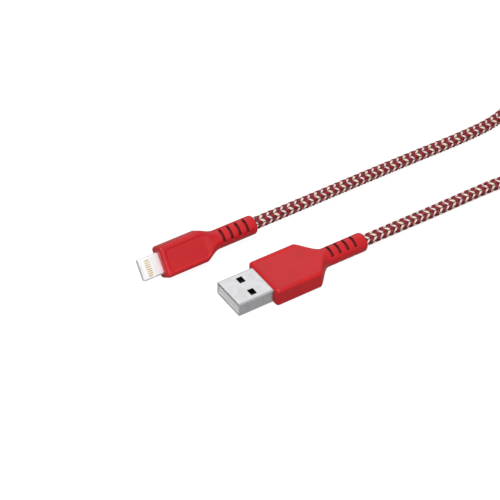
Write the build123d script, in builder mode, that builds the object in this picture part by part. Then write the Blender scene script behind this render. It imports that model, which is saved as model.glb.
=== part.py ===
from build123d import *
from collections import namedtuple
from math import cos, pi, radians, sin, tan
import os

# A braided charging cable: one cord with a flat four-contact plug on one end and an
# eight-contact blade plug on the other, and the spare cord wound into a tied coil.
# Millimetres. The origin is the middle of the four-contact plug's flat underside.
# +X runs from the plugs towards the cord, so a plug goes into its socket along -X.
# +Z is up, and everything lies on the surface z = 0.

# ---------------------------------------------------------------- driving dimensions
GripSize = namedtuple("GripSize", "width height corner straight flare sleeve")

# cord
cord_diameter = 3.8
core_offset = 0.5            # how far each core lies off the cord's axis, across and up
core_diameter = 0.8

# four-contact plug: metal shell, insulator and contacts
shell_width = 12.0
shell_height = 4.5
shell_sheet = 0.3
shell_corner = 0.6
shell_exposed = 11.75
shell_buried = 7.0
window_length = 2.0
window_width = 2.5
window_setback = 5.1         # from the mouth to the near edge of a window
window_spacing = 6.0
tongue_recess = 0.4
tongue_thickness = 1.95
tongue_root = 12.0           # from the mouth to the block that closes the shell
contact_width = 1.0
contact_thickness = 0.25
contact_proud = 0.05
outer_contact_place = 3.5    # power and ground, either side of the middle
inner_contact_place = 1.0    # the two data contacts
outer_contact_setback = 1.5
inner_contact_setback = 2.5
contact_tail = 1.8

# blade plug: metal frame, insulator, pads and board
blade_width = 6.7
blade_thickness = 1.5
blade_corner = 0.7
blade_edge = 0.7
blade_exposed = 6.65
blade_buried = 2.6
insert_setback = 0.75
insert_length = 3.15
insert_width = 5.5
insert_tail_width = 4.8
insert_tail_thickness = 0.8
pad_count = 8
pad_pitch = 0.65
pad_width = 0.4
pad_length = 1.7
pad_depth = 0.2
pad_setback = 1.75
notch_radius = 0.5
notch_depth = 0.25
notch_setback = 3.6
board_length = 7.0
board_width = 6.0
board_thickness = 0.6
chip_length = 3.0
chip_width = 2.6
chip_height = 0.8
capacitor_length = 0.6
capacitor_width = 1.0
capacitor_height = 0.5
capacitor_count = 3
capacitor_pitch = 1.8
core_fan_in = 3.2            # length in which the cores gather from the board to the cord
solder_pitch = 1.5           # between the cores where they meet the board

# what both plugs share: inner mould, shield cans, crimp ring and strain-relief sleeve
can_sheet = 0.25
usb_can_width = 11.2
usb_can_height = 4.8
blade_can_width = 7.4
blade_can_height = 4.0
wire_run = 5.0               # inside the mould, from the contact tails to the cord
ring_wall = 0.3
ring_length = 3.5
ring_gap = 0.3
usb_grip_size = GripSize(width=15.7, height=6.2, corner=1.2, straight=15.3, flare=6.3, sleeve=13.9)
blade_grip_size = GripSize(width=9.8, height=6.0, corner=1.2, straight=13.7, flare=5.6, sleeve=13.2)
sleeve_diameter = 5.9
sleeve_chamfer = 1.0
nose_fillet = 0.9
panel_margin = 1.5           # from the grip's side to the sunk panel on its face
panel_depth = 0.15
flare_shoulder = 1.35        # above 1 the flare starts softly
flare_neck = 1.8             # the larger, the sooner the flare reaches the sleeve's width
flare_sections = 8
slot_count = 4
slot_pitch = 2.75
slot_width = 0.8
slot_lead = 1.5              # from the sleeve's start to the first slot
slot_half_angle = 48.0
slot_floor = 0.35            # sleeve left between a slot's floor and the cord
least_flat = 0.06            # straight left on each side of the sleeve's round section

# where the blade plug lies beside the other one
blade_tip = (-35.8, 22.0)
blade_roll = 54.0            # degrees about X, its upper face turned towards -Y

# the coil of spare cord and its tie
coil_centre = (121.0, 3.0)
coil_layers = 2
layer_turns = 3.75           # the cord winds inwards on the floor, then outwards above
coil_mean_diameter = 40.0
turn_gap = 0.05
tie_width = 9.0
tie_thickness = 0.7
tie_slack = 0.2

# ------------------------------------------------------------------- worked-out sizes
cord_radius = cord_diameter / 2
cord_pitch = cord_diameter + turn_gap
usb_axis = usb_grip_size.height / 2
usb_mouth = -shell_exposed - usb_grip_size.straight / 2
inner_shell_width = shell_width - 2 * shell_sheet
inner_shell_height = shell_height - 2 * shell_sheet
shell_rear = shell_exposed + shell_buried
tongue_top = tongue_thickness - inner_shell_height / 2
usb_cord_start = shell_rear + wire_run
blade_frame_rear = blade_exposed + blade_buried
board_rear = blade_frame_rear + board_length
blade_cord_start = board_rear + core_fan_in
blade_flat = blade_grip_size.height / 2 - blade_grip_size.corner
blade_axis = (
    (blade_grip_size.width / 2 - blade_grip_size.corner) * sin(radians(blade_roll))
    + blade_flat * cos(radians(blade_roll))
    + blade_grip_size.corner
)

# each plug's own frame: x from its mouth or tip towards the cord, y across, z through it
usb_plug = Plane(origin=(usb_mouth, 0, usb_axis), x_dir=(1, 0, 0), z_dir=(0, 0, 1))
blade_plug = Plane(
    origin=(*blade_tip, blade_axis),
    x_dir=(1, 0, 0),
    z_dir=(0, -sin(radians(blade_roll)), cos(radians(blade_roll))),
)


def at(plug, x, y=0.0, z=0.0):
    """A point of a plug's own frame, in the frame of the whole cable."""
    return plug.from_local_coords(Vector(x, y, z))


def section(plug, x):
    """The plane across a plug at x: its own x is the plug's width, its y the thickness."""
    return Plane(origin=at(plug, x), x_dir=plug.y_dir, z_dir=plug.x_dir)


def plan(plug, z=0.0):
    """The plane along a plug at height z, seen from above."""
    return plug.offset(z)


# ------------------------------------------------------------------ four-contact plug
def usb_contact(label, place, setback):
    """One contact strip with its tail behind the insulator."""
    with BuildPart() as contact:
        with BuildSketch(section(usb_plug, setback)):
            with Locations((place, tongue_top + contact_proud - contact_thickness / 2)):
                Rectangle(contact_width, contact_thickness)
        extrude(amount=shell_rear + contact_tail - setback)
    contact.part.label = label
    return contact


usb_contacts = [
    usb_contact("usb_contact_power", -outer_contact_place, outer_contact_setback),
    usb_contact("usb_contact_data_minus", -inner_contact_place, inner_contact_setback),
    usb_contact("usb_contact_data_plus", inner_contact_place, inner_contact_setback),
    usb_contact("usb_contact_ground", outer_contact_place, outer_contact_setback),
]

with BuildPart() as usb_shell:
    with BuildSketch(section(usb_plug, 0)):
        RectangleRounded(shell_width, shell_height, shell_corner)
        RectangleRounded(
            inner_shell_width,
            inner_shell_height,
            shell_corner - shell_sheet,
            mode=Mode.SUBTRACT,
        )
    extrude(amount=shell_rear)
    with BuildSketch(plan(usb_plug)):
        with Locations((window_setback + window_length / 2, 0)):
            with GridLocations(0, window_spacing, 1, 2):
                Rectangle(window_length, window_width)
    extrude(amount=shell_height, both=True, mode=Mode.SUBTRACT)
usb_shell.part.label = "usb_shell"

with BuildPart() as usb_tongue:
    with BuildSketch(section(usb_plug, tongue_recess)):
        RectangleRounded(inner_shell_width, inner_shell_height, shell_corner - shell_sheet)
        with Locations((0, tongue_top + inner_shell_height / 2)):
            Rectangle(inner_shell_width, inner_shell_height, mode=Mode.SUBTRACT)
    extrude(amount=shell_rear - tongue_recess)
    with BuildSketch(section(usb_plug, tongue_root)):
        RectangleRounded(inner_shell_width, inner_shell_height, shell_corner - shell_sheet)
    extrude(amount=shell_rear - tongue_root)
    for contact in usb_contacts:
        add(contact.part, mode=Mode.SUBTRACT)
usb_tongue.part.label = "usb_tongue"


# --------------------------------------------------------------- pieces of both plugs
def can_half(label, plug, side, front, rear, width, height):
    """One half of the folded shield can: a tray above (side 1) or below (side -1)."""
    with BuildPart() as half:
        with BuildSketch(section(plug, front)):
            with Locations((0, side * height / 4)):
                Rectangle(width, height / 2)
            with Locations((0, side * (height / 2 - can_sheet) / 2)):
                Rectangle(width - 2 * can_sheet, height / 2 - can_sheet, mode=Mode.SUBTRACT)
        extrude(amount=rear - front)
    half.part.label = label
    return half


def core_wire(label, plug, start, end):
    """One insulated core, from its solder joint to the cord, with two easy bends."""
    lead = (end[0] - start[0]) / 6
    with BuildPart() as wire:
        with BuildLine() as route:
            FilletPolyline(
                at(plug, *start),
                at(plug, start[0] + lead, start[1], start[2]),
                at(plug, end[0] - lead, end[1], end[2]),
                at(plug, *end),
                radius=core_diameter,
            )
        with BuildSketch(Plane(origin=route.line @ 0, z_dir=route.line % 0)):
            Circle(core_diameter / 2)
        sweep()
    wire.part.label = label
    return wire


def crimp_ring(label, plug, start):
    """The ring that is crimped round the cord's end behind the shield can."""
    with BuildPart() as ring:
        with BuildSketch(section(plug, start)):
            Circle(cord_radius + ring_wall)
            Circle(cord_radius, mode=Mode.SUBTRACT)
        extrude(amount=ring_length)
    ring.part.label = label
    return ring


def cord_end(label, plug, start, rear):
    """The cord's end that the plug is moulded round."""
    with BuildPart() as end:
        with BuildSketch(section(plug, start)):
            Circle(cord_radius)
        extrude(amount=rear - start)
    end.part.label = label
    return end


def inner_mould(label, plug, front, rear, width, height, held):
    """The hard block that fills the can and holds the joints."""
    with BuildPart() as mould:
        with BuildSketch(section(plug, front)):
            Rectangle(width - 2 * can_sheet, height - 2 * can_sheet)
        extrude(amount=rear - front)
        for piece in held:
            add(piece.part, mode=Mode.SUBTRACT)
    mould.part.label = label
    return mould


def grip_section(size, share):
    """Width, height and corner radius of the grip where it has flared by this share."""
    round_corner = (sleeve_diameter - least_flat) / 2
    return (
        size.width + (sleeve_diameter - size.width) * share,
        size.height + (sleeve_diameter - size.height) * share,
        size.corner + (round_corner - size.corner) * share,
    )


def moulded_grip(label, plug, front, size, core):
    """The soft overmould: flat grip, flare, and the slotted strain-relief sleeve."""
    flare_start = front + size.straight
    sleeve_start = flare_start + size.flare
    sleeve_end = sleeve_start + size.sleeve
    panel_size = (size.straight - 2 * panel_margin, size.width - 2 * panel_margin)
    with BuildPart() as grip:
        with BuildSketch(section(plug, front)):
            RectangleRounded(*grip_section(size, 0))
        extrude(amount=size.straight)
        fillet(grip.faces().sort_by(Axis.X)[0].edges(), nose_fillet)
        for step in range(flare_sections + 1):
            along = step / flare_sections
            share = 1 - (1 - along**flare_shoulder) ** flare_neck
            with BuildSketch(section(plug, flare_start + along * size.flare)):
                RectangleRounded(*grip_section(size, share))
        loft()
        with BuildSketch(section(plug, sleeve_start)):
            RectangleRounded(*grip_section(size, 1))
        extrude(amount=size.sleeve)
        chamfer(grip.faces().sort_by(Axis.X)[-1].edges(), sleeve_chamfer)
        for side in (1, -1):
            with BuildSketch(plan(plug, side * size.height / 2)):
                with Locations((front + size.straight / 2, 0)):
                    RectangleRounded(*panel_size, size.corner)
            extrude(amount=-side * panel_depth, mode=Mode.SUBTRACT)
        for slot in range(slot_count):
            slot_start = sleeve_start + slot_lead + slot * slot_pitch
            reach = sleeve_diameter
            half_spread = reach * tan(radians(slot_half_angle))
            with BuildSketch(section(plug, slot_start)):
                for side in (1, -1):
                    with BuildLine():
                        Polyline(
                            (0, 0),
                            (-half_spread, side * reach),
                            (half_spread, side * reach),
                            close=True,
                        )
                    make_face()
                Circle(cord_radius + slot_floor, mode=Mode.SUBTRACT)
            extrude(amount=slot_width, mode=Mode.SUBTRACT)
        add(core.part, mode=Mode.SUBTRACT)
    grip.part.label = label
    return grip


# ------------------------------------------------------- inside the four-contact plug
usb_tail_end = shell_rear + contact_tail
usb_tail_height = tongue_top + contact_proud - contact_thickness / 2
usb_wires = [
    core_wire(
        label,
        usb_plug,
        (usb_tail_end, place, usb_tail_height),
        (usb_cord_start, across * core_offset, up * core_offset),
    )
    for label, place, across, up in (
        ("usb_wire_power", -outer_contact_place, -1, 1),
        ("usb_wire_data_minus", -inner_contact_place, -1, -1),
        ("usb_wire_data_plus", inner_contact_place, 1, -1),
        ("usb_wire_ground", outer_contact_place, 1, 1),
    )
]
usb_can = (shell_rear, usb_cord_start, usb_can_width, usb_can_height)
usb_can_upper = can_half("usb_can_upper", usb_plug, 1, *usb_can)
usb_can_lower = can_half("usb_can_lower", usb_plug, -1, *usb_can)
usb_inner_mould = inner_mould("usb_inner_mould", usb_plug, *usb_can, usb_contacts + usb_wires)
usb_sleeve_end = (
    shell_exposed + usb_grip_size.straight + usb_grip_size.flare + usb_grip_size.sleeve
)
usb_crimp_ring = crimp_ring("usb_crimp_ring", usb_plug, usb_cord_start + ring_gap)
usb_cord_end = cord_end("usb_cord_end", usb_plug, usb_cord_start, usb_sleeve_end)

with BuildPart() as usb_core:
    with BuildSketch(section(usb_plug, shell_exposed)):
        RectangleRounded(shell_width, shell_height, shell_corner)
    extrude(amount=shell_buried)
    with BuildSketch(section(usb_plug, shell_rear)):
        Rectangle(usb_can_width, usb_can_height)
    extrude(amount=wire_run)
    with BuildSketch(section(usb_plug, usb_cord_start + ring_gap)):
        Circle(cord_radius + ring_wall)
    extrude(amount=ring_length)
    with BuildSketch(section(usb_plug, usb_cord_start)):
        Circle(cord_radius)
    extrude(amount=usb_sleeve_end - usb_cord_start)
usb_grip = moulded_grip("usb_grip", usb_plug, shell_exposed, usb_grip_size, usb_core)

# ------------------------------------------------------------------------ blade plug
def pad_row(label, side):
    """The eight contact pads of one face, each flush with the insulator."""
    with BuildPart() as pads:
        with BuildSketch(plan(blade_plug, side * (blade_thickness / 2))):
            with Locations((pad_setback + pad_length / 2, 0)):
                with GridLocations(0, pad_pitch, 1, pad_count):
                    Rectangle(pad_length, pad_width)
        extrude(amount=-side * pad_depth)
    pads.part.label = label
    return pads


blade_pads_upper = pad_row("blade_pads_upper", 1)
blade_pads_lower = pad_row("blade_pads_lower", -1)

with BuildPart() as blade_insert:
    with BuildSketch(plan(blade_plug)):
        with Locations((insert_setback + insert_length / 2, 0)):
            Rectangle(insert_length, insert_width)
    extrude(amount=blade_thickness / 2, both=True)
    with BuildSketch(section(blade_plug, insert_setback + insert_length)):
        Rectangle(insert_tail_width, insert_tail_thickness)
    extrude(amount=blade_frame_rear - insert_setback - insert_length)
    add(blade_pads_upper.part, mode=Mode.SUBTRACT)
    add(blade_pads_lower.part, mode=Mode.SUBTRACT)
blade_insert.part.label = "blade_insert"

with BuildPart() as blade_frame:
    with BuildSketch(section(blade_plug, 0)):
        RectangleRounded(blade_width, blade_thickness, blade_edge)
    extrude(amount=blade_frame_rear)
    with BuildSketch(plan(blade_plug, -blade_thickness)) as outline:
        with Locations((blade_frame_rear / 2, 0)):
            Rectangle(blade_frame_rear, blade_width)
        fillet(outline.vertices().sort_by(Axis.X)[:2], blade_corner)
        with Locations((notch_setback, 0)):
            with GridLocations(0, blade_width + 2 * (notch_radius - notch_depth), 1, 2):
                Circle(notch_radius, mode=Mode.SUBTRACT)
    extrude(amount=2 * blade_thickness, mode=Mode.INTERSECT)
    with BuildSketch(plan(blade_plug)):
        with Locations((insert_setback + insert_length / 2, 0)):
            Rectangle(insert_length, insert_width)
    extrude(amount=blade_thickness, both=True, mode=Mode.SUBTRACT)
    with BuildSketch(section(blade_plug, insert_setback + insert_length)):
        Rectangle(insert_tail_width, insert_tail_thickness)
    extrude(amount=blade_frame_rear, mode=Mode.SUBTRACT)
blade_frame.part.label = "blade_frame"

with BuildPart() as blade_board:
    with BuildSketch(section(blade_plug, blade_frame_rear)):
        Rectangle(board_width, board_thickness)
    extrude(amount=board_length)
blade_board.part.label = "blade_board"

with BuildPart() as blade_chip:
    with BuildSketch(plan(blade_plug, board_thickness / 2)):
        with Locations((blade_frame_rear + board_length / 2, 0)):
            Rectangle(chip_length, chip_width)
    extrude(amount=chip_height)
blade_chip.part.label = "blade_chip"

with BuildPart() as blade_capacitors:
    with BuildSketch(plan(blade_plug, -board_thickness / 2)):
        with Locations((blade_frame_rear + board_length / 2, 0)):
            with GridLocations(capacitor_pitch, 0, capacitor_count, 1):
                Rectangle(capacitor_length, capacitor_width)
    extrude(amount=-capacitor_height)
blade_capacitors.part.label = "blade_capacitors"

blade_wires = [
    core_wire(
        label,
        blade_plug,
        (board_rear, place * solder_pitch, 0),
        (blade_cord_start, across * core_offset, up * core_offset),
    )
    for label, place, across, up in (
        ("blade_wire_power", -1.5, -1, 1),
        ("blade_wire_data_minus", -0.5, -1, -1),
        ("blade_wire_data_plus", 0.5, 1, -1),
        ("blade_wire_ground", 1.5, 1, 1),
    )
]
blade_can = (blade_frame_rear, blade_cord_start, blade_can_width, blade_can_height)
blade_can_upper = can_half("blade_can_upper", blade_plug, 1, *blade_can)
blade_can_lower = can_half("blade_can_lower", blade_plug, -1, *blade_can)
blade_held = [blade_board, blade_chip, blade_capacitors] + blade_wires
blade_inner_mould = inner_mould("blade_inner_mould", blade_plug, *blade_can, blade_held)
blade_sleeve_end = (
    blade_exposed + blade_grip_size.straight + blade_grip_size.flare + blade_grip_size.sleeve
)
blade_crimp_ring = crimp_ring("blade_crimp_ring", blade_plug, blade_cord_start + ring_gap)
blade_cord_end = cord_end("blade_cord_end", blade_plug, blade_cord_start, blade_sleeve_end)

with BuildPart() as blade_core:
    with BuildSketch(section(blade_plug, blade_exposed)):
        RectangleRounded(blade_width, blade_thickness, blade_edge)
    extrude(amount=blade_buried)
    with BuildSketch(section(blade_plug, blade_frame_rear)):
        Rectangle(blade_can_width, blade_can_height)
    extrude(amount=blade_cord_start - blade_frame_rear)
    with BuildSketch(section(blade_plug, blade_cord_start + ring_gap)):
        Circle(cord_radius + ring_wall)
    extrude(amount=ring_length)
    with BuildSketch(section(blade_plug, blade_cord_start)):
        Circle(cord_radius)
    extrude(amount=blade_sleeve_end - blade_cord_start)
blade_grip = moulded_grip("blade_grip", blade_plug, blade_exposed, blade_grip_size, blade_core)

# ------------------------------------------------------------------- the cord outside
# The coil: flat spirals of turns side by side. The cord runs in on the floor at its
# front (-Y) side and leaves its upper layer at the back.
coil_depth = layer_turns * cord_pitch + cord_diameter
coil_height = coil_layers * cord_pitch + tie_thickness
coil_outer_radius = (coil_mean_diameter + coil_depth) / 2
coil_inner_radius = (coil_mean_diameter - coil_depth) / 2
entry_radius = coil_outer_radius - cord_radius
coil_entry = (coil_centre[0], coil_centre[1] - entry_radius, cord_radius)
coil_exit = (coil_centre[0], coil_centre[1] + entry_radius, cord_radius + cord_pitch)

usb_route = [
    tuple(at(usb_plug, usb_sleeve_end)),
    (38.0, 0.0, usb_axis),
    (55.0, 0.95, 1.95),
    (72.0, 1.25, 1.9),
    (83.5, 0.9, 1.9),
    (90.5, -7.0, 1.9),
    (99.0, -19.5, 1.9),
    (108.0, -24.0, 1.9),
    coil_entry,
]
blade_route = [
    tuple(at(blade_plug, blade_sleeve_end)),
    (18.0, blade_tip[1], blade_axis),
    (38.0, 23.6, 3.75),
    (62.0, 25.45, 1.9),
    (84.0, 25.1, 1.9),
    (99.0, 26.2, 1.9),
    (109.5, 31.2, 3.4),
    coil_exit,
]


def free_run(label, points):
    """A stretch of cord lying free: straight runs joined by arcs as large as they allow."""
    corners = [Vector(*point) for point in points]
    runs = [after - before for before, after in zip(corners, corners[1:])]
    radii = []
    for before, after in zip(runs, runs[1:]):
        half_turn = radians(before.get_angle(after)) / 2
        radii.append(0.45 * min(before.length, after.length) / tan(half_turn))
    with BuildPart() as run:
        with BuildLine() as route:
            FilletPolyline(*corners, radius=radii)
        with BuildSketch(Plane(origin=route.line @ 0, z_dir=route.line % 0)):
            Circle(cord_radius)
        sweep()
    run.part.label = label
    length = sum(edge.length for edge in route.edges())
    swept = pi * cord_radius**2 * length
    print(
        f"{label}: {length:.1f} mm long, arc radii",
        ", ".join(f"{radius:.0f}" for radius in radii),
        f"mm, volume {run.part.volume:.1f} of {swept:.1f} mm3",
    )
    return run


cord_usb_run = free_run("cord_usb_run", usb_route)
cord_blade_run = free_run("cord_blade_run", blade_route)

tie_window = (coil_depth + 2 * tie_slack, coil_height - tie_thickness + tie_slack)
tie_plane = Plane(
    origin=(
        coil_centre[0] + coil_mean_diameter / 2,
        coil_centre[1] + tie_width / 2,
        tie_thickness + tie_window[1] / 2,
    ),
    x_dir=(1, 0, 0),
    z_dir=(0, -1, 0),
)
with BuildPart() as cord_tie:
    with BuildSketch(tie_plane):
        RectangleRounded(
            tie_window[0] + 2 * tie_thickness, tie_window[1] + 2 * tie_thickness, cord_radius
        )
        RectangleRounded(*tie_window, cord_radius - tie_thickness, mode=Mode.SUBTRACT)
    extrude(amount=tie_width)
cord_tie.part.label = "cord_tie"

with BuildPart() as cord_coil:
    with BuildSketch(Plane.XY):
        with Locations(coil_centre):
            Circle(coil_outer_radius)
            Circle(coil_inner_radius, mode=Mode.SUBTRACT)
    extrude(amount=coil_height)
    fillet(cord_coil.edges(), cord_radius - tie_thickness)
    add(cord_tie.part, mode=Mode.SUBTRACT)
cord_coil.part.label = "cord_coil"

# ---------------------------------------------------------------------------- export
pieces = [usb_shell, usb_tongue, *usb_contacts, *usb_wires, usb_can_upper, usb_can_lower]
pieces += [usb_inner_mould, usb_crimp_ring, usb_cord_end, usb_grip]
pieces += [blade_frame, blade_insert, blade_pads_upper, blade_pads_lower, blade_board]
pieces += [blade_chip, blade_capacitors, *blade_wires, blade_can_upper, blade_can_lower]
pieces += [blade_inner_mould, blade_crimp_ring, blade_cord_end, blade_grip]
pieces += [cord_usb_run, cord_coil, cord_blade_run, cord_tie]

os.makedirs("parts", exist_ok=True)
for piece in pieces:
    export_step(piece.part, f"parts/{piece.part.label}.step")
print(len(pieces), "pieces written")
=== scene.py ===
# %% [markdown]
# # A braided charging cable
# The engineering model gives every piece its size and place. This script gives them their
# looks: woven sleeve, soft moulded grips, plated metal. It is loaded as a fixed frame, so
# nothing here has to be fitted by eye. All lengths are metres; `mm` turns millimetres into
# metres.

# %% The frame and the tools
from collections import namedtuple
from math import atan2, cos, pi, radians, sin

import bpy
import numpy as np
from mathutils import Matrix, Vector


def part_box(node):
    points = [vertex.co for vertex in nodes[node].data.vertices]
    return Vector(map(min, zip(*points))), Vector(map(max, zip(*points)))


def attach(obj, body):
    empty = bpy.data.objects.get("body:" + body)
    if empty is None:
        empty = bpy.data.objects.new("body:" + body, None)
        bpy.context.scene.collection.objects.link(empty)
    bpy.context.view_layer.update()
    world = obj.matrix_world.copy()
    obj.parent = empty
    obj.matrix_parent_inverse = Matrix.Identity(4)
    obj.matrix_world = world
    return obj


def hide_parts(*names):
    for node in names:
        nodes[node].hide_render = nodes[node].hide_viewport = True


mm = 0.001
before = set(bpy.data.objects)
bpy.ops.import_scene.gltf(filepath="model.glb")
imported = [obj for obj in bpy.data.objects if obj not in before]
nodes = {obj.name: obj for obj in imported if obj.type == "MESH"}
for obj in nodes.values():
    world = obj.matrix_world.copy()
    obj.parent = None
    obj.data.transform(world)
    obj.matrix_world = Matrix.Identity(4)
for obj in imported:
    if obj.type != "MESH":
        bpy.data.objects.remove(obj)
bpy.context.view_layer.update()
scene = bpy.context.scene
print("loaded", len(nodes), "pieces of the cable")

# %% [markdown]
# ## The camera
# A product shot of this kind is taken with a long lens from well back, so that the plugs
# keep their proportions. The camera is placed by the direction it looks in, its distance
# and the point it looks at, which is easier to reason about than raw rotation angles.

# %% Camera
view_azimuth = radians(32.96)
view_height = radians(41.13)
view_roll = radians(0.22)
view_target = Vector((-2.536, 14.72, 3.1)) * mm
view_distance = 666.2 * mm
lens_length = 162.7

forward = Vector((
    sin(view_azimuth) * cos(view_height),
    cos(view_azimuth) * cos(view_height),
    -sin(view_height),
))
level = Vector((cos(view_azimuth), -sin(view_azimuth), 0))
upward = level.cross(forward)
right = level * cos(view_roll) + upward * sin(view_roll)
top = right.cross(forward)
camera_data = bpy.data.cameras.new("camera")
camera_data.lens = lens_length
camera_data.sensor_width = 36
camera_data.clip_start = 0.01
camera = bpy.data.objects.new("camera", camera_data)
camera.matrix_world = Matrix((
    (right.x, top.x, -forward.x, 0),
    (right.y, top.y, -forward.y, 0),
    (right.z, top.z, -forward.z, 0),
    (0, 0, 0, 1),
))
camera.location = view_target - forward * view_distance
scene.collection.objects.link(camera)
scene.camera = camera
print("camera at", [round(value, 3) for value in camera.location])

# %% [markdown]
# ## The line of the cord
# A real cord takes smooth, lazy curves. A NURBS curve does the same: it passes near its
# control points without a kink. The free stretches have a few listed points. The
# spare cord is wound as two flat spirals, inwards on the table and outwards on top of that,
# and those turns are worked out by a loop as more points of the same curve.

# %% Cord sizes and route points
cord_diameter = 3.8 * mm
turn_pitch = 3.85 * mm
turns = 7.5
layer_turns = 3.75
layer_change = 0.5
points_per_turn = 16
coil_low, coil_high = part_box("cord_coil")
coil_centre = (coil_low + coil_high) / 2
outer_turn = (coil_high.x - coil_low.x - cord_diameter) / 2
tie_lift = 0.7 * mm
tie_spread = radians(25)

usb_route = [
    (27.85, 0.0, 3.1),
    (38.0, 0.0, 3.1),
    (55.0, 0.95, 1.95),
    (72.0, 1.25, 1.9),
    (83.5, 0.9, 1.9),
    (90.5, -7.0, 1.9),
    (99.0, -19.5, 1.9),
    (108.0, -24.0, 1.9),
]
blade_route = [
    (3.35, 22.0, 5.251),
    (18.0, 22.0, 5.251),
    (38.0, 23.6, 3.75),
    (62.0, 25.45, 1.9),
    (84.0, 25.1, 1.9),
    (99.0, 26.2, 1.9),
    (109.5, 31.2, 3.4),
]


def smooth(value):
    """Goes from 0 to 1 with a soft start and a soft end."""
    value = np.clip(value, 0, 1)
    return value * value * (3 - 2 * value)


print("routes of", len(usb_route), "and", len(blade_route), "points meet the coil")

# %% The turns of the coil
# Each control point lies half a step off, and a little outside the turn, so that the
# curve itself touches the circle that it should.
coil_points = []
half_step = pi / points_per_turn
for index in range(int(turns * points_per_turn) + 2):
    turn = (index - 0.5) / points_per_turn
    inward = max(0, min(turn, turns - turn))
    angle = 2 * pi * turn - pi / 2
    radius = (outer_turn - turn_pitch * inward) / cos(half_step)
    off_tie = atan2(sin(angle), cos(angle)) / tie_spread
    height = cord_diameter / 2 + turn_pitch * smooth((turn - layer_turns) / layer_change + 0.5)
    height += tie_lift * np.exp(-off_tie * off_tie)
    coil_points.append((
        coil_centre.x + radius * cos(angle),
        coil_centre.y + radius * sin(angle),
        float(height),
    ))
print(len(coil_points), "points wind the coil,", turns, "turns")

# %% The cord as one smooth curve
cord_points = [Vector(point) * mm for point in usb_route]
cord_points += [Vector(point) for point in coil_points]
cord_points += [Vector(point) * mm for point in reversed(blade_route)]
curve_steps = 10
cord_curve = bpy.data.curves.new("cord_line", "CURVE")
cord_curve.dimensions = "3D"
cord_curve.resolution_u = curve_steps
spline = cord_curve.splines.new("NURBS")
spline.points.add(len(cord_points) - 1)
for spline_point, place in zip(spline.points, cord_points):
    spline_point.co = (*place, 1)
spline.order_u = 3
spline.use_endpoint_u = True
line_object = bpy.data.objects.new("cord_line", cord_curve)
scene.collection.objects.link(line_object)
line_mesh = bpy.data.meshes.new_from_object(line_object)
cord_line = np.array([vertex.co for vertex in line_mesh.vertices], float)
bpy.data.objects.remove(line_object)
cord_steps = np.linalg.norm(np.diff(cord_line, axis=0), axis=1)
cord_travel = np.concatenate([[0], np.cumsum(cord_steps)])
cord_length = float(cord_travel[-1])
print("cord length", round(cord_length, 4), "m from", len(cord_line), "points")

# %% [markdown]
# ## The woven sleeve
# The sleeve is braided from sixteen carriers, eight each way round. Every carrier passes
# over two and under two, which leaves eight columns of short slanting floats, and where two
# columns meet the floats form arrowheads. A picture of a weave would smear, so the floats
# are real: one tube whose rings zigzag along the columns, with a bulge on each float and a
# groove between them. The colour follows the rows: cream, dark red, white, dark red.

# %% Braid sizes
float_pitch = 1.25 * mm
row_widths = np.array((1.25, 1.4, 1.0, 1.35)) * mm
columns = 8
column_steps = 4
groove = 0.26 * mm
float_end_dip = 0.24 * mm
float_fullness = 0.7
yarn_stands_out = 0.04 * mm
overlap = 2.4 * mm
coil_twist = radians(22.5)
twist_starts = 0.2
twist_lasts = 0.6
heading_reach = 0.8 * mm
row_colours = (0, 1, 2, 1)
fine_rows = 6
coarse_rows = 2
fine_reach = 125 * mm


def along_cord(distance):
    """Place and heading at these distances along the cord, also a little past its ends."""
    clipped = np.clip(distance, 0, cord_length)
    place = np.stack([np.interp(clipped, cord_travel, cord_line[:, i]) for i in range(3)], -1)
    ahead = np.clip(clipped + heading_reach, 0, cord_length)
    behind = np.clip(clipped - heading_reach, 0, cord_length)
    step = np.stack([
        np.interp(ahead, cord_travel, cord_line[:, i])
        - np.interp(behind, cord_travel, cord_line[:, i])
        for i in range(3)
    ], -1)
    heading = step / np.linalg.norm(step, axis=-1, keepdims=True)
    return place + heading * (distance - clipped)[..., None], heading


print("one repeat of the braid is", round(row_widths.sum() / mm, 2), "mm long")

# %% How the rows are shared out
def row_start(row):
    """How far along the cord a row of floats starts: the rows of one repeat differ."""
    repeats, place_in_repeat = divmod(row, len(row_widths))
    return repeats * row_widths.sum() + row_widths[:place_in_repeat].sum() - overlap


def braid_rows():
    """Where each ring lies: a whole row number, and how far through that row it is."""
    rows = []
    row_count = int((cord_length + 2 * overlap) / float_pitch)
    for row in range(row_count):
        travelled = row_start(row)
        near_plug = min(travelled, cord_length - travelled) < fine_reach
        parts = fine_rows if near_plug else coarse_rows
        rows += [(row, part / parts) for part in range(parts)]
    return rows


rings = braid_rows()
print(len(rings), "rings make the braid")

# %% The rings of the braid
row_number = np.array([row for row, part in rings])
row_part = np.array([part for row, part in rings])
around = np.arange(columns * column_steps)
across = around / column_steps
zigzag = np.abs(across % 2 - 1)
float_place = across % 1
ring_start = np.array([row_start(row) for row in row_number])
ring_distance = ring_start + row_part * row_widths[row_number % len(row_widths)]
distance = ring_distance[:, None] + (0.5 - zigzag)[None, :] * float_pitch
centre, heading = along_cord(distance)
up = np.zeros_like(heading)
up[..., 2] = 1
sideways = np.cross(heading, up)
sideways /= np.linalg.norm(sideways, axis=-1, keepdims=True)
upright = np.cross(sideways, heading)
twist = coil_twist * smooth((distance / cord_length - twist_starts) / twist_lasts)
turned = across[None, :] * 2 * pi / columns + twist
bulge = np.sqrt(np.sin(pi * row_part))[:, None]
crown = np.sin(pi * float_place)[None, :] ** float_fullness
radius = cord_diameter / 2 + yarn_stands_out - groove * (1 - bulge)
radius = radius - float_end_dip * (1 - crown)
braid_points = centre + radius[..., None] * (
    upright * np.cos(turned)[..., None] + sideways * np.sin(turned)[..., None]
)
print("each ring has", len(around), "points")

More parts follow.
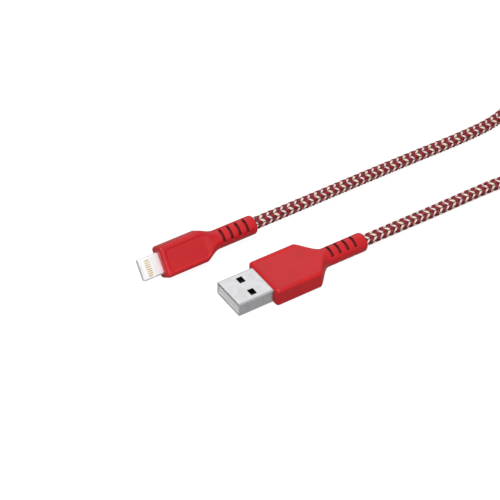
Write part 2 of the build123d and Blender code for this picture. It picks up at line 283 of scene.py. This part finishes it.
# %% The braid as a mesh
ring_size = len(around)
braid_faces = []
face_colours = []
face_spots = []
for ring in range(len(rings) - 1):
    start_part = row_part[ring]
    end_part = row_part[ring + 1] if row_part[ring + 1] > start_part else 1.0
    for spot in range(ring_size):
        after = (spot + 1) % ring_size
        braid_faces.append((
            ring * ring_size + spot,
            ring * ring_size + after,
            (ring + 1) * ring_size + after,
            (ring + 1) * ring_size + spot,
        ))
        face_colours.append(row_colours[row_number[ring] % len(row_colours)])
        left = float_place[spot]
        right_side = left + 1 / column_steps
        face_spots.append((
            (left, start_part), (right_side, start_part),
            (right_side, end_part), (left, end_part),
        ))
last_ring = (len(rings) - 1) * ring_size
braid_faces.append(tuple(reversed(range(ring_size))))
braid_faces.append(tuple(last_ring + spot for spot in range(ring_size)))
face_colours += [1, 1]
face_spots += [((0.5, 0.5),) * ring_size] * 2


def mesh_piece(name, points, faces):
    """A smooth-shaded piece from points and faces, linked into the scene."""
    mesh = bpy.data.meshes.new(name)
    mesh.from_pydata([tuple(point) for point in points], [], faces)
    mesh.update()
    mesh.shade_smooth()
    piece = bpy.data.objects.new(name, mesh)
    scene.collection.objects.link(piece)
    return piece


braid = mesh_piece("cord_braid", braid_points.reshape(-1, 3), braid_faces)
weave_map = braid.data.uv_layers.new(name="weave")
weave_map.data.foreach_set("uv", np.array([
    value for spots in face_spots for spot in spots for value in spot
]))
braid.data.polygons.foreach_set("material_index", face_colours)
print("braid of", len(braid_faces), "faces")

# %% [markdown]
# ## Shared finishes
# Several materials need the same three effects: the fine grain of a moulded skin, the long
# scratches of rolled metal, and the fibres of yarn. Each effect is one node group with
# named inputs, so a material only has to say how coarse or strong it is there.

# %% Helpers for colours and nodes
linear_below = 0.04045


def paint(red, green, blue):
    """A colour mixed on the usual 0 to 255 scale, as the shader wants it."""
    def channel(value):
        share = value / 255
        if share <= linear_below:
            return share / 12.92
        return ((share + 0.055) / 1.055) ** 2.4
    return (channel(red), channel(green), channel(blue), 1)


def effect_group(name, inputs, outputs):
    """An empty node group with named number inputs and named outputs."""
    group = bpy.data.node_groups.new(name, "ShaderNodeTree")
    for label, value in inputs:
        socket = group.interface.new_socket(label, in_out="INPUT", socket_type="NodeSocketFloat")
        socket.default_value = value
    for label in outputs:
        group.interface.new_socket(label, in_out="OUTPUT", socket_type="NodeSocketFloat")
    return group, group.nodes.new("NodeGroupInput"), group.nodes.new("NodeGroupOutput")


def link(tree, source, target):
    tree.links.new(source, target)


# %% Moulded grain: a fine texture and broad, faint patches
grain_group, taken, given = effect_group(
    "moulded_grain", [("Grain size", 6000), ("Patch size", 90)], ["Grain", "Patches"]
)
place = grain_group.nodes.new("ShaderNodeTexCoord")
fine = grain_group.nodes.new("ShaderNodeTexNoise")
fine.inputs["Detail"].default_value = 4
broad = grain_group.nodes.new("ShaderNodeTexNoise")
for noise, size in ((fine, "Grain size"), (broad, "Patch size")):
    link(grain_group, place.outputs["Object"], noise.inputs["Vector"])
    link(grain_group, taken.outputs[size], noise.inputs["Scale"])
link(grain_group, fine.outputs["Fac"], given.inputs["Grain"])
link(grain_group, broad.outputs["Fac"], given.inputs["Patches"])
print("made", grain_group.name)

# %% Rolled metal: noise drawn out along the plug, and a mottle
line_stretch = (0.04, 1, 1)
rolled_group, taken, given = effect_group(
    "rolled_metal", [("Line size", 2600), ("Mottle size", 500)], ["Lines", "Mottle"]
)
place = rolled_group.nodes.new("ShaderNodeTexCoord")
stretch = rolled_group.nodes.new("ShaderNodeMapping")
stretch.inputs["Scale"].default_value = line_stretch
lines = rolled_group.nodes.new("ShaderNodeTexNoise")
lines.inputs["Detail"].default_value = 5
mottle = rolled_group.nodes.new("ShaderNodeTexNoise")
link(rolled_group, place.outputs["Object"], stretch.inputs["Vector"])
link(rolled_group, stretch.outputs["Vector"], lines.inputs["Vector"])
link(rolled_group, place.outputs["Object"], mottle.inputs["Vector"])
link(rolled_group, taken.outputs["Line size"], lines.inputs["Scale"])
link(rolled_group, taken.outputs["Mottle size"], mottle.inputs["Scale"])
link(rolled_group, lines.outputs["Fac"], given.inputs["Lines"])
link(rolled_group, mottle.outputs["Fac"], given.inputs["Mottle"])
print("made", rolled_group.name)

# %% Yarn fibres: filaments along each float, and a painted shade that darkens it towards its edges
fuzz_share = 0.3
yarn_group, taken, given = effect_group(
    "yarn_fibres_and_painted_shade", [("Fibres", 7), ("Fuzz size", 9000), ("Edge", 0.24)], ["Fibres", "Painted edge shade and fuzz"]
)
place = yarn_group.nodes.new("ShaderNodeTexCoord")
ribs = yarn_group.nodes.new("ShaderNodeTexWave")
ribs.bands_direction = "Y"
ribs.inputs["Distortion"].default_value = 1.2
fuzz = yarn_group.nodes.new("ShaderNodeTexNoise")
link(yarn_group, place.outputs["UV"], ribs.inputs["Vector"])
link(yarn_group, taken.outputs["Fibres"], ribs.inputs["Scale"])
link(yarn_group, place.outputs["Object"], fuzz.inputs["Vector"])
link(yarn_group, taken.outputs["Fuzz size"], fuzz.inputs["Scale"])
link(yarn_group, ribs.outputs["Fac"], given.inputs["Fibres"])
rise = []
spots = yarn_group.nodes.new("ShaderNodeSeparateXYZ")
link(yarn_group, place.outputs["UV"], spots.inputs["Vector"])
for direction in ("X", "Y"):
    from_edge = yarn_group.nodes.new("ShaderNodeMath")
    from_edge.operation = "PINGPONG"
    from_edge.inputs[1].default_value = 0.5
    link(yarn_group, spots.outputs[direction], from_edge.inputs[0])
    clear = yarn_group.nodes.new("ShaderNodeMapRange")
    clear.interpolation_type = "SMOOTHSTEP"
    link(yarn_group, from_edge.outputs[0], clear.inputs["Value"])
    link(yarn_group, taken.outputs["Edge"], clear.inputs["From Max"])
    rise.append(clear.outputs["Result"])
# Painted shade: the float is darker towards its edges and ends, where it dives under; a little
# fuzz noise is added to it.
lit = yarn_group.nodes.new("ShaderNodeMath")
lit.operation = "MULTIPLY"
link(yarn_group, rise[0], lit.inputs[0])
link(yarn_group, rise[1], lit.inputs[1])
worn = yarn_group.nodes.new("ShaderNodeMath")
worn.operation = "MULTIPLY_ADD"
worn.inputs[1].default_value = fuzz_share
worn.inputs[2].default_value = -fuzz_share / 2
link(yarn_group, fuzz.outputs["Fac"], worn.inputs[0])
both = yarn_group.nodes.new("ShaderNodeMath")
both.operation = "ADD"
link(yarn_group, lit.outputs[0], both.inputs[0])
link(yarn_group, worn.outputs[0], both.inputs[1])
link(yarn_group, both.outputs[0], given.inputs["Painted edge shade and fuzz"])
print("made", yarn_group.name)

# %% A finish built on one of those effects
relief_depth = 0.02 * mm


def finish_from(name, group, sizes, light, dark, rough, bump, metallic=0.0,
                span=(0.3, 0.7), **constants):
    """A material whose colour, roughness and bump follow the two outputs of a group.
    light and dark are the colours that it varies between; rough is (least, most)."""
    material = bpy.data.materials.new(name)
    material.use_nodes = True
    tree = material.node_tree
    shader = tree.nodes["Principled BSDF"]
    effect = tree.nodes.new("ShaderNodeGroup")
    effect.node_tree = group
    for label, value in sizes.items():
        effect.inputs[label].default_value = value
    relief, variation = effect.outputs[0], effect.outputs[1]
    mix = tree.nodes.new("ShaderNodeMix")
    mix.data_type = "RGBA"
    spread = tree.nodes.new("ShaderNodeMapRange")
    spread.inputs["From Min"].default_value = span[0]
    spread.inputs["From Max"].default_value = span[1]
    link(tree, variation, spread.inputs["Value"])
    link(tree, spread.outputs["Result"], mix.inputs["Factor"])
    mix.inputs["A"].default_value = dark
    mix.inputs["B"].default_value = light
    link(tree, mix.outputs["Result"], shader.inputs["Base Color"])
    gloss = tree.nodes.new("ShaderNodeMapRange")
    gloss.inputs["To Min"].default_value = rough[0]
    gloss.inputs["To Max"].default_value = rough[1]
    link(tree, relief, gloss.inputs["Value"])
    link(tree, gloss.outputs["Result"], shader.inputs["Roughness"])
    raised = tree.nodes.new("ShaderNodeBump")
    raised.inputs["Strength"].default_value = bump
    raised.inputs["Distance"].default_value = relief_depth
    link(tree, relief, raised.inputs["Height"])
    link(tree, raised.outputs["Normal"], shader.inputs["Normal"])
    shader.inputs["Metallic"].default_value = metallic
    for label, value in constants.items():
        shader.inputs[label.replace("_", " ")].default_value = value
    return material


def moulded(name, light, dark, rough=(0.42, 0.55), bump=0.25, **constants):
    return finish_from(name, grain_group, {}, light, dark, rough, bump, **constants)


def metal(name, light, dark, rough=(0.22, 0.38), bump=0.12, metallic=1.0, **constants):
    return finish_from(name, rolled_group, {}, light, dark, rough, bump, metallic, **constants)


def yarn(name, light, dark):
    return finish_from(
        name, yarn_group, {}, light, dark, (0.5, 0.75), 0.7, 0.0, (0.0, 1.0)
    )


# %% [markdown]
# ## The yarns
# Three yarns are wound on the carriers. Each is a polyester with a soft sheen, and within a
# float the light catches a few filaments more than the rest.

# %% Yarn colours on the braid
# The dark colour of each yarn is the painted shade at the edges of its floats.
braid.data.materials.append(yarn("yarn_cream", paint(255, 228, 208), paint(84, 40, 34)))
braid.data.materials.append(yarn("yarn_red", paint(150, 8, 32), paint(52, 5, 10)))
braid.data.materials.append(yarn("yarn_white", paint(255, 226, 224), paint(84, 36, 38)))
print("yarns:", [material.name for material in braid.data.materials])

# %% [markdown]
# ## The moulded grips
# Each grip is one shot of soft plastic over the plug: a flat body with a shallow panel on
# both faces, a flare, and a round sleeve with slots that lets the cord bend. It could be
# cut from a block with booleans, but their edges are sharp and hard to soften. Here the
# skin is a net of cross-sections from nose to tail, every one with the same number of
# points, and panel and slots are pressed into that net. The edges then come out softly
# rounded, as from a mould.

# %% Grip sizes
GripSize = namedtuple("GripSize", "width height corner straight flare sleeve")
usb_grip_size = GripSize(15.7 * mm, 6.2 * mm, 1.2 * mm, 15.3 * mm, 6.3 * mm, 13.9 * mm)
blade_grip_size = GripSize(9.8 * mm, 6.0 * mm, 1.2 * mm, 13.7 * mm, 5.6 * mm, 13.2 * mm)
sleeve_diameter = 5.9 * mm
sleeve_chamfer = 1.0 * mm
tail_flatness = 0.85
nose_round = 0.9 * mm
socket_lip = 0.12 * mm
hole_lip = 0.1 * mm
least_corner = 0.15 * mm
panel_margin = 1.5 * mm
panel_depth = 0.2 * mm
panel_edge = 0.28 * mm
panel_ends = 0.55
panel_fades = 0.5
flat_band = 0.02 * mm
flare_shoulder = 1.35
flare_neck = 1.8
slot_count = 4
slot_pitch = 2.75 * mm
slot_width = 0.85 * mm
slot_lead = 0.9 * mm
slot_half_angle = radians(56)
blade_slot_turn = radians(-26)
slot_floor_radius = cord_diameter / 2 + 0.2 * mm
slot_wall = 0.09 * mm
slot_end_blend = radians(3)
slot_skin_below = 0.4 * mm
beside_slot = 0.5 * mm
pocket = 1.5 * mm
net_points = 176
corner_steps = 12
round_steps = 6
flare_steps = 24
body_step = 0.28 * mm


def outline(width, height, corner):
    """Points spaced evenly round a rounded rectangle, starting at the middle of one side."""
    corner = min(corner, width / 2 - 1e-6, height / 2 - 1e-6)
    path = [(width / 2, 0)]
    for quarter, (across, up) in enumerate(((1, 1), (-1, 1), (-1, -1), (1, -1))):
        middle = (across * (width / 2 - corner), up * (height / 2 - corner))
        for step in range(corner_steps + 1):
            angle = (quarter + step / corner_steps) * pi / 2
            path.append((middle[0] + corner * cos(angle), middle[1] + corner * sin(angle)))
    path.append((width / 2, 0))
    path = np.array(path)
    travel = np.concatenate([[0], np.cumsum(np.linalg.norm(np.diff(path, axis=0), axis=1))])
    spots = np.linspace(0, travel[-1], net_points, endpoint=False)
    return np.stack([np.interp(spots, travel, path[:, i]) for i in (0, 1)], -1)


for size in (usb_grip_size, blade_grip_size):
    print("grip", round((size.straight + size.flare + size.sleeve) / mm, 1), "mm long")

# %% How the grip's section changes along it
def grip_section(size, share):
    """The outline where the grip has flared by this share, from 0 at the body to 1."""
    width = size.width + (sleeve_diameter - size.width) * share
    height = size.height + (sleeve_diameter - size.height) * share
    corner = size.corner + (sleeve_diameter / 2 - size.corner) * share
    return width, height, corner


def inset(section, depth):
    """The same outline, moved inwards by this much on every side."""
    width, height, corner = section
    return width - 2 * depth, height - 2 * depth, max(corner - depth, least_corner)


def sleeve_stations(size):
    """Distances along the sleeve at which it needs a section: close together at slots."""
    stations = {0.0, size.sleeve - sleeve_chamfer}
    for slot in range(slot_count):
        start = slot_lead + slot * slot_pitch
        end = start + slot_width
        for edge in (start, end):
            stations |= {edge - slot_wall, edge - slot_wall / 2, edge, edge + slot_wall / 2}
            stations |= {edge + slot_wall}
        stations |= {start + slot_width / 2, start - beside_slot, end + beside_slot}
    return sorted(stations)


# %% Pressing the panels and the slots into the net
def press_panel(points, along, size, section):
    """Sinks the two flat faces behind the panel's rounded front. It runs out in the flare."""
    width, height, corner = section
    off_x = panel_margin + size.corner - along
    off_y = np.abs(points[:, 0]) - (width / 2 - panel_margin - size.corner)
    outside = np.hypot(np.maximum(off_x, 0), np.maximum(off_y, 0)) - size.corner
    inside = outside + np.minimum(np.maximum(off_x, off_y), 0)
    run_out = size.straight + panel_ends * size.flare
    fading = smooth((run_out - along) / (panel_fades * size.flare))
    sunk = panel_depth * smooth(-inside / panel_edge + 0.5) * fading
    flat = np.abs(points[:, 1]) > height / 2 - flat_band
    points[:, 1] -= np.sign(points[:, 1]) * sunk * flat


def press_slots(points, along, turn):
    """Draws the skin in to the slots' floor, above and below, between the side ribs."""
    depth = 0.0
    for slot in range(slot_count):
        start = slot_lead + slot * slot_pitch
        middle_off = abs(along - start - slot_width / 2)
        depth = max(depth, float(smooth((slot_width / 2 - middle_off) / slot_wall + 0.5)))
    round_axis = np.arctan2(-points[:, 0], points[:, 1]) - turn
    angle = np.abs((round_axis + pi / 2) % pi - pi / 2)
    share = depth * smooth((slot_half_angle - angle) / slot_end_blend + 0.5)
    distance_out = np.linalg.norm(points, axis=1)
    points *= (1 + share * (slot_floor_radius / distance_out - 1))[:, None]


# %% The net of one grip
def grip_net(size, socket, slot_turn):
    """All sections of a grip from the bottom of its nose pocket to that round the cord.
    Each is (distance from the nose, points as y and z)."""
    body = grip_section(size, 0)
    lip = inset(socket, -socket_lip)
    net = [(pocket, outline(*socket)), (socket_lip, outline(*socket)), (0.0, outline(*lip))]
    nose_inside = inset(body, nose_round)
    for share in (0.5, 1.0):
        blend = [a + (b - a) * share for a, b in zip(lip, nose_inside)]
        net.append((0.0, outline(*blend)))
    for step in range(1, round_steps + 1):
        angle = step / round_steps * pi / 2
        net.append((
            nose_round * (1 - cos(angle)),
            outline(*inset(body, nose_round * (1 - sin(angle)))),
        ))
    flat_steps = int((size.straight - nose_round) / body_step)
    for step in range(1, flat_steps + 1):
        along = nose_round + (size.straight - nose_round) * step / flat_steps
        points = outline(*body)
        press_panel(points, along, size, body)
        net.append((along, points))
    for step in range(1, flare_steps):
        along = step / flare_steps
        share = 1 - (1 - along**flare_shoulder) ** flare_neck
        section = grip_section(size, share)
        points = outline(*section)
        press_panel(points, size.straight + along * size.flare, size, section)
        net.append((size.straight + along * size.flare, points))
    sleeve_start = size.straight + size.flare
    for station in sleeve_stations(size):
        points = outline(*grip_section(size, 1))
        press_slots(points, station, slot_turn)
        net.append((sleeve_start + station, points))
    tail = sleeve_start + size.sleeve
    for step in range(1, round_steps + 1):
        angle = step / round_steps * pi / 2
        drawn_in = sleeve_chamfer * tail_flatness * (1 - cos(angle))
        points = outline(*inset(grip_section(size, 1), drawn_in))
        net.append((tail - sleeve_chamfer * (1 - sin(angle)), points))
    cord_hole = (cord_diameter, cord_diameter, cord_diameter / 2)
    net.append((tail, outline(*inset(cord_hole, -hole_lip))))
    net.append((tail - socket_lip, outline(*cord_hole)))
    net.append((tail - pocket, outline(*cord_hole)))
    return net


# %% One grip as a piece
def grip_piece(name, node, size, socket, cord_end, roll, slot_turn):
    """The grip as a piece, on its plug's own axis and rolled about it."""
    low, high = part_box(cord_end)
    axis = (low + high) / 2
    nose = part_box(node)[0].x
    across = Vector((0, cos(roll), sin(roll)))
    through = Vector((0, -sin(roll), cos(roll)))
    points = []
    net = grip_net(size, socket, slot_turn)
    for along, section in net:
        middle = Vector((nose + along, axis.y, axis.z))
        points += [middle + across * y + through * z for y, z in section]
    faces = []
    slot_shade_faces = []
    for ring in range(len(net) - 1):
        on_sleeve = net[ring][0] > size.straight + size.flare
        for spot in range(net_points):
            after = (spot + 1) % net_points
            start = ring * net_points
            faces.append((
                start + after, start + spot, start + net_points + spot,
                start + net_points + after,
            ))
            out = min(np.linalg.norm(net[side][1][spot]) for side in (ring, ring + 1))
            # Faces sunk deep in a slot get the darker red, a painted shade.
            slot_shade_faces.append(int(on_sleeve and out < sleeve_diameter / 2 - slot_skin_below))
    last = (len(net) - 1) * net_points
    faces.append(tuple(range(net_points)))
    faces.append(tuple(last + spot for spot in reversed(range(net_points))))
    piece = mesh_piece(name, points, faces)
    piece.data.materials.append(grip_skin)
    piece.data.materials.append(slot_shade_skin)
    piece.data.polygons.foreach_set("material_index", slot_shade_faces + [0, 0])
    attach(piece, "root")
    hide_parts(node)
    return piece


# %% Both grips
shell_outline = (12.0 * mm, 4.5 * mm, 0.6 * mm)
blade_outline = (6.7 * mm, 1.5 * mm, 0.7 * mm)
blade_roll = radians(54)
grip_skin = moulded("grip_red", paint(202, 8, 22), paint(188, 6, 18), (0.4, 0.5))
# A darker red for the slots' floors: painted shade in the slots.
slot_shade_skin = moulded("grip_red_slot_painted_shade", paint(104, 4, 10), paint(74, 2, 6), (0.5, 0.6))
usb_grip = grip_piece(
    "usb_grip_skin", "usb_grip", usb_grip_size, shell_outline, "usb_cord_end",
    roll=0, slot_turn=0,
)
blade_grip = grip_piece(
    "blade_grip_skin", "blade_grip", blade_grip_size, blade_outline, "blade_cord_end",
    roll=blade_roll, slot_turn=blade_slot_turn,
)
for grip in (usb_grip, blade_grip):
    print(grip.name, "has", len(grip.data.polygons), "faces")

# %% [markdown]
# ## Metal, insulator and the pieces inside
# These keep the exact shapes of the engineering model. The shell is nickel-plated steel,
# rolled and so finely lined along its length. The insulators are glass-filled nylon, the
# contacts gold over nickel. The pieces inside the grips get their own finish as well,
# because someone may open the part.

# %% Finishes of the exact pieces
plated = metal("plated_steel", paint(212, 212, 214), paint(200, 200, 203), (0.22, 0.32))
satin = metal("satin_steel", paint(246, 246, 248), paint(236, 236, 239), (0.45, 0.58))
gold = metal("contact_gold", paint(232, 214, 172), paint(204, 180, 132), (0.3, 0.44))
nylon = moulded("insulator_white", paint(252, 252, 250), paint(246, 245, 242))
# The flat plug's contacts: gold painted dark, as the shade deep inside the shell.
shaded_gold = metal("contact_gold_painted_shade", paint(120, 96, 60), paint(96, 76, 46), (0.3, 0.45))
# The flat plug's insulator: white, painted dark grey further in as shade inside the shell.
nylon_shaded_inside = moulded("insulator_painted_shade_inside", paint(252, 252, 250), paint(246, 245, 242))
tin = metal("can_tin", paint(200, 202, 205), paint(180, 182, 186), (0.35, 0.5))
hard_white = moulded("inner_mould_white", paint(226, 224, 216), paint(212, 210, 202))
laminate = moulded("board_green", paint(34, 92, 58), paint(26, 78, 48))
chip_black = moulded("chip_black", paint(34, 34, 36), paint(24, 24, 26))
ceramic = moulded("capacitor_tan", paint(186, 158, 120), paint(168, 140, 104))
end_yarn = moulded("cord_end_red", paint(140, 26, 44), paint(96, 10, 26), (0.6, 0.85), 0.6)
core_colours = {
    "power": moulded("core_red", paint(200, 30, 34), paint(186, 24, 28)),
    "data_minus": moulded("core_white", paint(236, 236, 234), paint(222, 222, 220)),
    "data_plus": moulded("core_green", paint(40, 140, 70), paint(30, 124, 60)),
    "ground": moulded("core_black", paint(32, 32, 34), paint(24, 24, 26)),
}

# %% The flat plug's insulator is white at the mouth, with a painted shade further in
# Behind the mouth, ahead of the windows, it is painted dark grey as the shade inside the shell.
painted_shade_grey = paint(46, 46, 48)
shade_behind_mouth = 3.6 * mm
shade_blur = 0.1 * mm
shaded_nylon_tree = nylon_shaded_inside.node_tree
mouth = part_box("usb_shell")[0].x
spot = shaded_nylon_tree.nodes.new("ShaderNodeTexCoord")
split = shaded_nylon_tree.nodes.new("ShaderNodeSeparateXYZ")
deeper_in_shade = shaded_nylon_tree.nodes.new("ShaderNodeMapRange")
deeper_in_shade.inputs["From Min"].default_value = mouth + shade_behind_mouth
deeper_in_shade.inputs["From Max"].default_value = mouth + shade_behind_mouth + shade_blur
shade_mix = shaded_nylon_tree.nodes.new("ShaderNodeMix")
shade_mix.data_type = "RGBA"
shade_mix.inputs["B"].default_value = painted_shade_grey
skin = shaded_nylon_tree.nodes["Principled BSDF"].inputs["Base Color"]
link(shaded_nylon_tree, spot.outputs["Object"], split.inputs["Vector"])
link(shaded_nylon_tree, split.outputs["X"], deeper_in_shade.inputs["Value"])
link(shaded_nylon_tree, deeper_in_shade.outputs["Result"], shade_mix.inputs["Factor"])
link(shaded_nylon_tree, skin.links[0].from_socket, shade_mix.inputs["A"])
link(shaded_nylon_tree, shade_mix.outputs["Result"], skin)
# How far behind the mouth the painted shade starts in the insulator.
print("painted shade in the insulator starts", round(shade_behind_mouth / mm, 1), "mm behind the mouth")

# %% Which exact piece has which finish
finish_of = {
    "usb_shell": plated, "blade_frame": satin,
    "usb_tongue": nylon_shaded_inside, "blade_insert": nylon,
    "blade_pads_upper": gold, "blade_pads_lower": gold,
    "usb_can_upper": tin, "usb_can_lower": tin, "blade_can_upper": tin,
    "blade_can_lower": tin, "usb_crimp_ring": tin, "blade_crimp_ring": tin,
    "usb_inner_mould": hard_white, "blade_inner_mould": hard_white,
    "blade_board": laminate, "blade_chip": chip_black, "blade_capacitors": ceramic,
    "usb_cord_end": end_yarn, "blade_cord_end": end_yarn,
}
for role, core in core_colours.items():
    finish_of["usb_wire_" + role] = core
    finish_of["blade_wire_" + role] = core
    # The flat plug's contacts lie deep in the shell and get the gold with painted shade.
    finish_of["usb_contact_" + role] = shaded_gold
for node, finish in finish_of.items():
    nodes[node].data.materials.clear()
    nodes[node].data.materials.append(finish)
print(len(finish_of), "exact pieces have their finish")

# %% [markdown]
# ## The tie
# A strip of hook tape holds the coil. The real one is a flat band closed on itself round
# the turns. A band swept along a curve would twist at the corners, so it is made as two
# outlines, one strip thickness apart, joined along rounded edges.

# %% The tie's strip
tie_thickness = 0.7 * mm
tie_edge_round = 0.12 * mm
tie_low, tie_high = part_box("cord_tie")
tie_middle = (tie_low + tie_high) / 2
tie_width = tie_high.y - tie_low.y
tie_loop = (tie_high.x - tie_low.x, tie_high.z - tie_low.z, cord_diameter / 2 + tie_thickness)
strip_rows = 12
inner_loop = outline(*inset(tie_loop, tie_thickness))
strip_points = []
for row in range(strip_rows + 1):
    along_width = row / strip_rows
    edge_round = tie_edge_round * (abs(2 * along_width - 1) ** 8)
    y = tie_low.y + tie_width * along_width
    outer = outline(*inset(tie_loop, edge_round))
    strip_points += [(tie_middle.x + x, y, tie_middle.z + z) for x, z in outer]
for row in reversed(range(strip_rows + 1)):
    y = tie_low.y + tie_width * row / strip_rows
    strip_points += [(tie_middle.x + x, y, tie_middle.z + z) for x, z in inner_loop]
strip_faces = []
strip_rings = 2 * (strip_rows + 1)
for ring in range(strip_rings):
    following = (ring + 1) % strip_rings
    for spot in range(net_points):
        after = (spot + 1) % net_points
        strip_faces.append((
            ring * net_points + spot, ring * net_points + after,
            following * net_points + after, following * net_points + spot,
        ))
tie = mesh_piece("cord_tie_strip", strip_points, strip_faces)
tie.data.materials.append(
    moulded("tie_black", paint(40, 40, 42), paint(26, 26, 28), (0.75, 0.95), 1.0)
)
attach(tie, "root")
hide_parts("cord_tie")
print("tie strip", round(tie_width / mm, 1), "mm wide")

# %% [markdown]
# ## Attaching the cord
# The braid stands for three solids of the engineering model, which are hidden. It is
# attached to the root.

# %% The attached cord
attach(braid, "root")
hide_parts("cord_usb_run", "cord_coil", "cord_blade_run")

# %% [markdown]
# ## Table and light
# A white table top, with soft light from a large lamp above, a faint one behind and a fill
# from the front. The floor is grey to the light, so it takes a shadow and doesn't flood the
# cable with bounce, and a glow that only the camera and reflections see makes it white.

# %% The floor
floor_size = 1.5
floor_steps = 24
floor_drop = 0.02 * mm
floor_points = [
    ((x / floor_steps - 0.5) * floor_size, (y / floor_steps - 0.5) * floor_size, 0)
    for y in range(floor_steps + 1) for x in range(floor_steps + 1)
]
floor_row = floor_steps + 1
floor_faces = [
    (row * floor_row + spot, row * floor_row + spot + 1,
     (row + 1) * floor_row + spot + 1, (row + 1) * floor_row + spot)
    for row in range(floor_steps) for spot in range(floor_steps)
]
floor = mesh_piece("floor", floor_points, floor_faces)
floor.location.z = -floor_drop
print("floor", floor_size, "m square")


# %% Strengths that depend on who looks
def level_by_ray(tree, to_light, to_gloss, to_camera):
    """A strength that is different for plain light, for reflections and for the camera."""
    path = tree.nodes.new("ShaderNodeLightPath")
    level = to_light
    for ray, value in (("Is Glossy Ray", to_gloss), ("Is Camera Ray", to_camera)):
        choice = tree.nodes.new("ShaderNodeMix")
        choice.data_type = "FLOAT"
        choice.inputs["B"].default_value = value
        if isinstance(level, float):
            choice.inputs["A"].default_value = level
        else:
            link(tree, level, choice.inputs["A"])
        link(tree, path.outputs[ray], choice.inputs["Factor"])
        level = choice.outputs["Result"]
    return level


def white_to_the_eye(tree, base, to_gloss, to_camera):
    """base plus a glow that only the camera and reflections see."""
    glow = tree.nodes.new("ShaderNodeEmission")
    link(tree, level_by_ray(tree, 0.0, to_gloss, to_camera), glow.inputs["Strength"])
    total = tree.nodes.new("ShaderNodeAddShader")
    link(tree, base, total.inputs[0])
    link(tree, glow.outputs[0], total.inputs[1])
    return total.outputs[0]


# %% The floor's paper
paper_grey = (0.22, 0.22, 0.22, 1)
paper_gloss = 0.22
paper_glow_seen = 0.92
paper = bpy.data.materials.new("floor_white")
paper.use_nodes = True
paper_tree = paper.node_tree
paper_tree.nodes.remove(paper_tree.nodes["Principled BSDF"])
chalk = paper_tree.nodes.new("ShaderNodeBsdfDiffuse")
chalk.inputs["Color"].default_value = paper_grey
paper_out = paper_tree.nodes["Material Output"]
paper_glow = white_to_the_eye(paper_tree, chalk.outputs[0], paper_gloss, paper_glow_seen)
link(paper_tree, paper_glow, paper_out.inputs["Surface"])
floor.data.materials.append(paper)
print("floor painted with", paper.name)

# %% The world
sky_light = 0.32
sky_gloss = 0.66
sky_seen = 1.0
world = bpy.data.worlds.new("studio")
scene.world = world
world.use_nodes = True
sky = world.node_tree
background = sky.nodes["Background"]
link(sky, level_by_ray(sky, sky_light, sky_gloss, sky_seen), background.inputs["Strength"])
background.inputs["Color"].default_value = (1, 1, 1, 1)
print("sky gives", sky_light, "of plain light")

# %% The lamps
lamp_aim = Vector((0.01, 0.012, 0))


def soft_lamp(name, place, size, power):
    """A square lamp at this place, facing the plugs."""
    lamp_data = bpy.data.lights.new(name, "AREA")
    lamp_data.size = size
    lamp_data.energy = power
    lamp = bpy.data.objects.new(name, lamp_data)
    lamp.location = place
    lamp.rotation_euler = (lamp_aim - lamp.location).to_track_quat("-Z", "Y").to_euler()
    scene.collection.objects.link(lamp)
    return lamp


soft_lamp("key", (-0.25, -0.15, 0.72), 0.35, 4.0)
soft_lamp("back_softbox", (0.26, 0.4, 0.42), 0.4, 0.3)
soft_lamp("front_fill", (-0.15, -0.6, 0.25), 0.4, 1.3)
scene.view_settings.view_transform = "Standard"

# %% The end
print("done")
